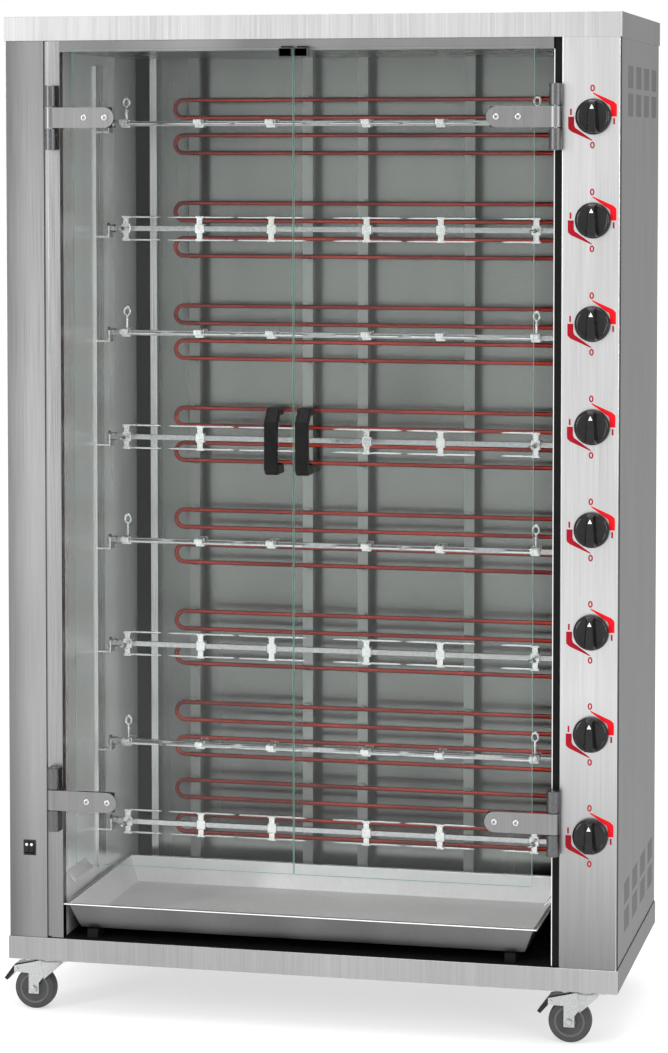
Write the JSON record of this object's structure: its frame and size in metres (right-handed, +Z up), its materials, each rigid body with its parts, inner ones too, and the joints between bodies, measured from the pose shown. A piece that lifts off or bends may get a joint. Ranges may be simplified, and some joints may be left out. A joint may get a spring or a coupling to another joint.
{
  "type": "rotisserie oven",
  "caption": "Tall free-standing electric rotisserie oven on castors, with driven horizontal spits and rod elements behind two glass doors, a control column and a drip tray.",
  "frame": {"origin": "on the floor, under the middle of the bounding box of the whole oven", "axes": "+Z up, +Y towards the rear, +X to the right as seen from the front"},
  "size_m": [1.185, 0.65, 1.886],
  "materials": {
    "brushed_steel": "vertical brushed grain",
    "chamber_steel": "bright annealed sheet",
    "post_steel": "folded sheet",
    "element_tube": "heat-tinted sheath",
    "motor_casing": "cast",
    "hinge_metal": "satin plated",
    "black_plastic": "moulded",
    "zinc_plate": "zinc plated pressing",
    "castor_rubber": "grey rubber tread",
    "clear_glass": "toughened, polished edges",
    "tray_steel": "smooth pressed sheet",
    "spit_chrome": "polished bar"
  },
  "bodies": {
    "cabinet": {"base_frame": "brushed_steel", "top_cap": "brushed_steel", "left_front_panel": "brushed_steel", "left_side_panel": "brushed_steel", "right_side_panel": "brushed_steel", "control_panel": "brushed_steel", "rear_panel": "brushed_steel", "chamber_back": "chamber_steel", "chamber_left_wall": "chamber_steel", "chamber_right_wall": "chamber_steel", "chamber_ceiling": "chamber_steel", "chamber_floor": "chamber_steel", "door_posts": "post_steel", "spit_rests": "chamber_steel", "element_carriers": "chamber_steel", "heating_elements": "element_tube", "spit_motors": "motor_casing", "hinge_blocks": "hinge_metal", "hinge_pins": "hinge_metal", "door_magnets": "black_plastic", "tray_guides": "chamber_steel", "switchgear": "black_plastic", "switch_housing": "black_plastic", "castor_plates": "zinc_plate", "cable_gland": "black_plastic"},
    "left_door": {"left_door_glass": "clear_glass", "left_door_straps": "hinge_metal", "left_door_handle": "black_plastic"},
    "right_door": {"right_door_glass": "clear_glass", "right_door_straps": "hinge_metal", "right_door_handle": "black_plastic"},
    "drip_tray_body": {"drip_tray": "tray_steel"},
    "rocker_1_body": {"rocker_1": "black_plastic"},
    "rocker_2_body": {"rocker_2": "black_plastic"},
    "castor_fork_1_body": {"castor_fork_1": "zinc_plate"},
    "castor_wheel_1_body": {"castor_wheel_1": "castor_rubber"},
    "castor_fork_2_body": {"castor_fork_2": "zinc_plate"},
    "castor_wheel_2_body": {"castor_wheel_2": "castor_rubber"},
    "castor_fork_3_body": {"castor_fork_3": "zinc_plate"},
    "castor_wheel_3_body": {"castor_wheel_3": "castor_rubber"},
    "castor_fork_4_body": {"castor_fork_4": "zinc_plate"},
    "castor_wheel_4_body": {"castor_wheel_4": "castor_rubber"},
    "brake_pedal_1_body": {"brake_pedal_1": "black_plastic"},
    "brake_pedal_2_body": {"brake_pedal_2": "black_plastic"},
    "spit_1_body": {"spit_1": "spit_chrome"},
    "spit_2_body": {"spit_2": "spit_chrome"},
    "spit_3_body": {"spit_3": "spit_chrome"},
    "spit_4_body": {"spit_4": "spit_chrome"},
    "spit_5_body": {"spit_5": "spit_chrome"},
    "spit_6_body": {"spit_6": "spit_chrome"},
    "spit_7_body": {"spit_7": "spit_chrome"},
    "spit_8_body": {"spit_8": "spit_chrome"},
    "knob_1_body": {"knob_1": "black_plastic"},
    "knob_2_body": {"knob_2": "black_plastic"},
    "knob_3_body": {"knob_3": "black_plastic"},
    "knob_4_body": {"knob_4": "black_plastic"},
    "knob_5_body": {"knob_5": "black_plastic"},
    "knob_6_body": {"knob_6": "black_plastic"},
    "knob_7_body": {"knob_7": "black_plastic"},
    "knob_8_body": {"knob_8": "black_plastic"}
  },
  "joints": [
    {"name": "left_door_hinge", "type": "hinge", "parent": "cabinet", "child": "left_door", "pos_m": [-0.4725, -0.258, 1.0585], "axis": [0, 0, 1], "range_deg": [-115, 0]},
    {"name": "right_door_hinge", "type": "hinge", "parent": "cabinet", "child": "right_door", "pos_m": [0.4755, -0.258, 1.0585], "axis": [0, 0, 1], "range_deg": [0, 115]},
    {"name": "tray_slide", "type": "slide", "parent": "cabinet", "child": "drip_tray_body", "axis": [0, -1, 0], "range_m": [0, 0.4]},
    {"name": "rocker_1_tilt", "type": "hinge", "parent": "cabinet", "child": "rocker_1_body", "pos_m": [-0.53025, -0.238, 0.322], "axis": [1, 0, 0], "range_deg": [0, 14]},
    {"name": "rocker_2_tilt", "type": "hinge", "parent": "cabinet", "child": "rocker_2_body", "pos_m": [-0.52075, -0.238, 0.322], "axis": [1, 0, 0], "range_deg": [0, 14]},
    {"name": "brake_pedal_1_press", "type": "hinge", "parent": "castor_fork_1_body", "child": "brake_pedal_1_body", "pos_m": [-0.5665, -0.185, 0.077], "axis": [0, 1, 0], "range_deg": [-12, 0]},
    {"name": "brake_pedal_2_press", "type": "hinge", "parent": "castor_fork_2_body", "child": "brake_pedal_2_body", "pos_m": [0.4635, -0.185, 0.077], "axis": [0, 1, 0], "range_deg": [-12, 0]},
    {"name": "spit_1_spin", "type": "hinge", "parent": "cabinet", "child": "spit_1_body", "pos_m": [0.01445, -0.005, 1.689], "axis": [1, 0, 0], "continuous": true},
    {"name": "spit_2_spin", "type": "hinge", "parent": "cabinet", "child": "spit_2_body", "pos_m": [0.01445, -0.005, 1.487], "axis": [1, 0, 0], "continuous": true},
    {"name": "spit_3_spin", "type": "hinge", "parent": "cabinet", "child": "spit_3_body", "pos_m": [0.01445, -0.005, 1.285], "axis": [1, 0, 0], "continuous": true},
    {"name": "spit_4_spin", "type": "hinge", "parent": "cabinet", "child": "spit_4_body", "pos_m": [0.01445, -0.005, 1.083], "axis": [1, 0, 0], "continuous": true},
    {"name": "spit_5_spin", "type": "hinge", "parent": "cabinet", "child": "spit_5_body", "pos_m": [0.01445, -0.005, 0.881], "axis": [1, 0, 0], "continuous": true},
    {"name": "spit_6_spin", "type": "hinge", "parent": "cabinet", "child": "spit_6_body", "pos_m": [0.01445, -0.005, 0.679], "axis": [1, 0, 0], "continuous": true},
    {"name": "spit_7_spin", "type": "hinge", "parent": "cabinet", "child": "spit_7_body", "pos_m": [0.01445, -0.005, 0.486], "axis": [1, 0, 0], "continuous": true},
    {"name": "spit_8_spin", "type": "hinge", "parent": "cabinet", "child": "spit_8_body", "pos_m": [0.01445, -0.005, 0.329], "axis": [1, 0, 0], "continuous": true},
    {"name": "knob_1_turn", "type": "hinge", "parent": "cabinet", "child": "knob_1_body", "pos_m": [0.5415, -0.243, 1.698], "axis": [0, 1, 0], "continuous": true},
    {"name": "knob_2_turn", "type": "hinge", "parent": "cabinet", "child": "knob_2_body", "pos_m": [0.5415, -0.243, 1.512], "axis": [0, 1, 0], "continuous": true},
    {"name": "knob_3_turn", "type": "hinge", "parent": "cabinet", "child": "knob_3_body", "pos_m": [0.5415, -0.243, 1.326], "axis": [0, 1, 0], "continuous": true},
    {"name": "knob_4_turn", "type": "hinge", "parent": "cabinet", "child": "knob_4_body", "pos_m": [0.5415, -0.243, 1.14], "axis": [0, 1, 0], "continuous": true},
    {"name": "knob_5_turn", "type": "hinge", "parent": "cabinet", "child": "knob_5_body", "pos_m": [0.5415, -0.243, 0.954], "axis": [0, 1, 0], "continuous": true},
    {"name": "knob_6_turn", "type": "hinge", "parent": "cabinet", "child": "knob_6_body", "pos_m": [0.5415, -0.243, 0.768], "axis": [0, 1, 0], "continuous": true},
    {"name": "knob_7_turn", "type": "hinge", "parent": "cabinet", "child": "knob_7_body", "pos_m": [0.5415, -0.243, 0.582], "axis": [0, 1, 0], "continuous": true},
    {"name": "knob_8_turn", "type": "hinge", "parent": "cabinet", "child": "knob_8_body", "pos_m": [0.5415, -0.243, 0.396], "axis": [0, 1, 0], "continuous": true},
    {"name": "castor_1_swivel", "type": "hinge", "parent": "cabinet", "child": "castor_fork_1_body", "pos_m": [-0.5025, -0.185, 0.098], "axis": [0, 0, 1], "continuous": true},
    {"name": "castor_2_swivel", "type": "hinge", "parent": "cabinet", "child": "castor_fork_2_body", "pos_m": [0.5275, -0.185, 0.098], "axis": [0, 0, 1], "continuous": true},
    {"name": "castor_3_swivel", "type": "hinge", "parent": "cabinet", "child": "castor_fork_3_body", "pos_m": [-0.5025, 0.245, 0.098], "axis": [0, 0, 1], "continuous": true},
    {"name": "castor_4_swivel", "type": "hinge", "parent": "cabinet", "child": "castor_fork_4_body", "pos_m": [0.5275, 0.245, 0.098], "axis": [0, 0, 1], "continuous": true},
    {"name": "castor_1_roll", "type": "hinge", "parent": "castor_fork_1_body", "child": "castor_wheel_1_body", "pos_m": [-0.5325, -0.185, 0.04], "axis": [0, 1, 0], "continuous": true},
    {"name": "castor_2_roll", "type": "hinge", "parent": "castor_fork_2_body", "child": "castor_wheel_2_body", "pos_m": [0.4975, -0.185, 0.04], "axis": [0, 1, 0], "continuous": true},
    {"name": "castor_3_roll", "type": "hinge", "parent": "castor_fork_3_body", "child": "castor_wheel_3_body", "pos_m": [-0.5325, 0.245, 0.04], "axis": [0, 1, 0], "continuous": true},
    {"name": "castor_4_roll", "type": "hinge", "parent": "castor_fork_4_body", "child": "castor_wheel_4_body", "pos_m": [0.4975, 0.245, 0.04], "axis": [0, 1, 0], "continuous": true}
  ]
}
